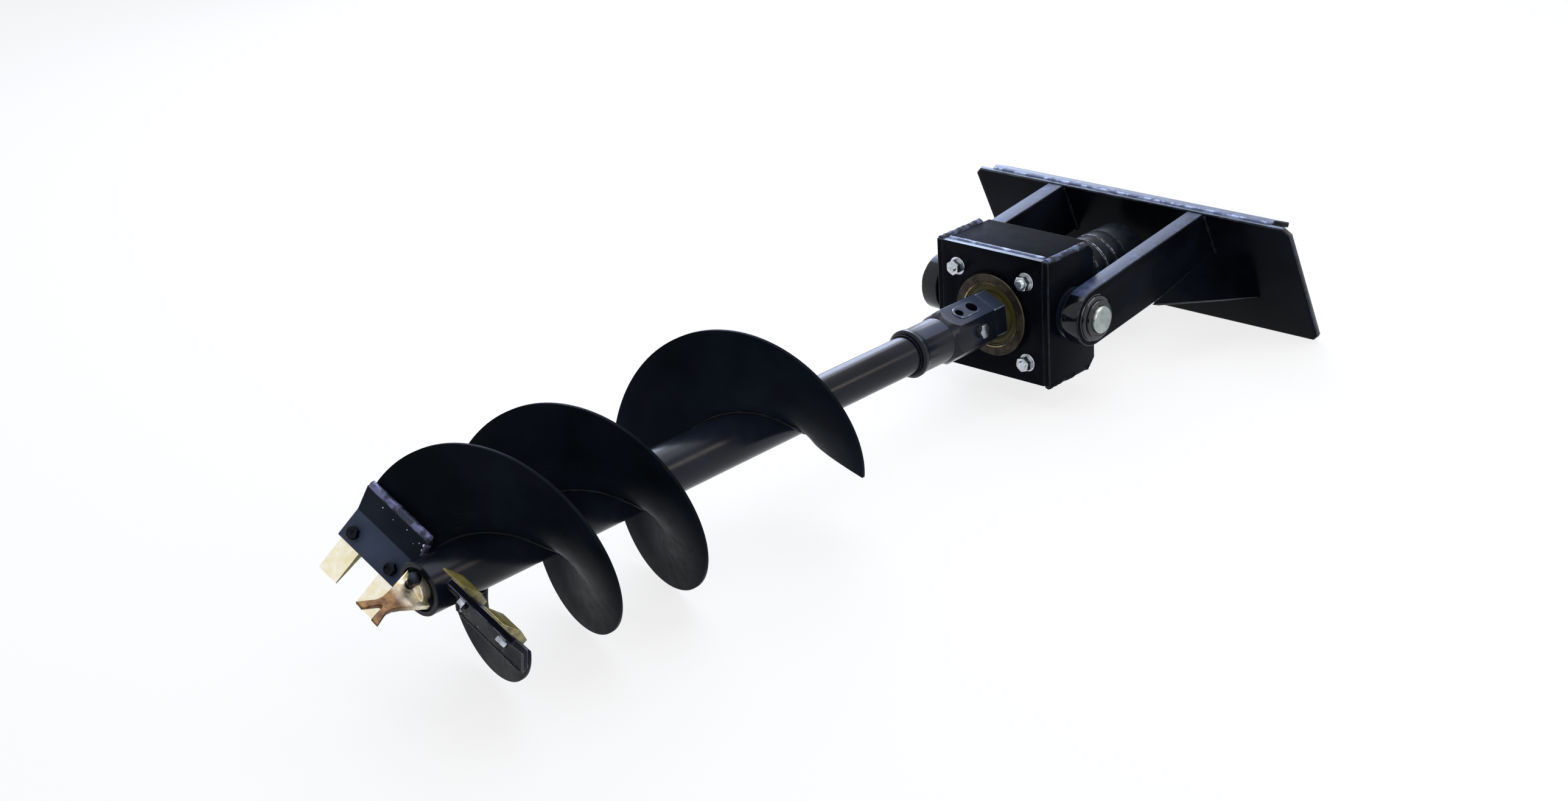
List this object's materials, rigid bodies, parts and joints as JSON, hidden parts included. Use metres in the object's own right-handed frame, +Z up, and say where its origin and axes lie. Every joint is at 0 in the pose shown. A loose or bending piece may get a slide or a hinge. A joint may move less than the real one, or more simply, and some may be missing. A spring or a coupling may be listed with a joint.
{
  "type": "earth auger drive",
  "caption": "Hydraulic earth auger drive: coupler plate with two arms, swinging planetary gearbox and motor, and a double-flighted auger with bolt-on teeth and fishtail pilot.",
  "frame": {"origin": "centre of the footprint, on the ground the part lies on", "axes": "+X along the pivot pins, +Y from the cutting head towards the coupler plate, +Z up"},
  "size_m": [0.7452, 2.0736, 0.3938],
  "materials": {
    "black_paint": "gloss black enamel over plate steel",
    "auger_paint": "gloss black enamel, a little scuffed",
    "keeper_paint": "satin black",
    "motor_paint": "satin black paint on cast iron and steel",
    "gear_case_paint": "painted ductile iron",
    "pin_steel": "bright zinc plated steel",
    "bright_zinc": "bright zinc plated steel",
    "machined_steel": "turned steel with a thin oil film",
    "gear_steel": "hardened gear steel",
    "tooth_alloy": "cast alloy steel, yellow zinc plated",
    "pilot_alloy": "forged alloy steel, bronze-brown coating",
    "seal_rubber": "nitrile rubber",
    "bronze": "bearing bronze"
  },
  "bodies": {
    "mount_frame": {"arm_boss_left": "black_paint", "arm_boss_right": "black_paint", "arm_left": "black_paint", "arm_right": "black_paint", "coupler_foot": "black_paint", "coupler_hook": "black_paint", "gusset_left": "black_paint", "gusset_right": "black_paint", "mount_plate": "black_paint", "pivot_bushing_left": "bronze", "pivot_bushing_right": "bronze"},
    "drive_unit": {"bearing_housing": "machined_steel", "box_bottom_plate": "black_paint", "box_front_plate": "black_paint", "box_side_plate_left": "black_paint", "box_side_plate_right": "black_paint", "box_top_plate": "black_paint", "front_stud_lower_left": "bright_zinc", "front_stud_lower_right": "bright_zinc", "front_stud_upper_left": "bright_zinc", "front_stud_upper_right": "bright_zinc", "gear_case_cover": "gear_case_paint", "motor_body": "motor_paint", "motor_end_cap": "motor_paint", "motor_port_left": "bright_zinc", "motor_port_right": "bright_zinc", "output_bearing_front": "gear_steel", "output_bearing_rear": "gear_steel", "output_seal": "seal_rubber", "pin_keeper_left": "keeper_paint", "pin_keeper_right": "keeper_paint", "pivot_pin_left": "pin_steel", "pivot_pin_right": "pin_steel", "ring_gear_case": "gear_case_paint"},
    "auger": {"cutter_bar_one": "auger_paint", "cutter_bar_two": "auger_paint", "cutter_tooth_one_inner": "tooth_alloy", "cutter_tooth_one_outer": "tooth_alloy", "cutter_tooth_two_inner": "tooth_alloy", "cutter_tooth_two_outer": "tooth_alloy", "fishtail_pilot": "pilot_alloy", "flighted_tube": "auger_paint", "hub_cross_bolt": "bright_zinc", "main_flight": "auger_paint", "output_carrier_shaft": "machined_steel", "output_hub": "auger_paint", "pilot_bolt": "bright_zinc", "pilot_socket": "auger_paint", "second_flight": "auger_paint", "tooth_bolt_one_inner": "bright_zinc", "tooth_bolt_one_outer": "bright_zinc", "tooth_bolt_two_inner": "bright_zinc", "tooth_bolt_two_outer": "bright_zinc", "upper_tube": "auger_paint"},
    "sun_shaft": {"sun_gear_shaft": "gear_steel"},
    "planet_1": {"planet_gear_1": "gear_steel"},
    "planet_2": {"planet_gear_2": "gear_steel"},
    "planet_3": {"planet_gear_3": "gear_steel"}
  },
  "joints": [
    {"name": "drive_swing", "type": "hinge", "parent": "mount_frame", "child": "drive_unit", "pos_m": [0, 0.51966, 0.17454], "axis": [1, 0, 0], "range_deg": [-10, 100]},
    {"name": "auger_spin", "type": "hinge", "parent": "drive_unit", "child": "auger", "pos_m": [0, 0.45183, 0.16703], "axis": [0, -0.9996, 0.0279], "continuous": true},
    {"name": "sun_spin", "type": "hinge", "parent": "drive_unit", "child": "sun_shaft", "pos_m": [0, 0.45183, 0.16703], "axis": [0, -0.9996, 0.0279], "continuous": true},
    {"name": "planet_1_spin", "type": "hinge", "parent": "auger", "child": "planet_1", "pos_m": [0.05063, 0.45183, 0.16703], "axis": [0, -0.9996, 0.0279], "continuous": true},
    {"name": "planet_2_spin", "type": "hinge", "parent": "auger", "child": "planet_2", "pos_m": [-0.02531, 0.45305, 0.21086], "axis": [0, -0.9996, 0.0279], "continuous": true},
    {"name": "planet_3_spin", "type": "hinge", "parent": "auger", "child": "planet_3", "pos_m": [-0.02531, 0.4506, 0.12321], "axis": [0, -0.9996, 0.0279], "continuous": true}
  ],
  "couplings": [
    {"joint": "sun_spin", "follows": "auger_spin", "ratio": 4.5},
    {"joint": "planet_1_spin", "follows": "auger_spin", "ratio": -2.8},
    {"joint": "planet_2_spin", "follows": "auger_spin", "ratio": -2.8},
    {"joint": "planet_3_spin", "follows": "auger_spin", "ratio": -2.8}
  ]
}
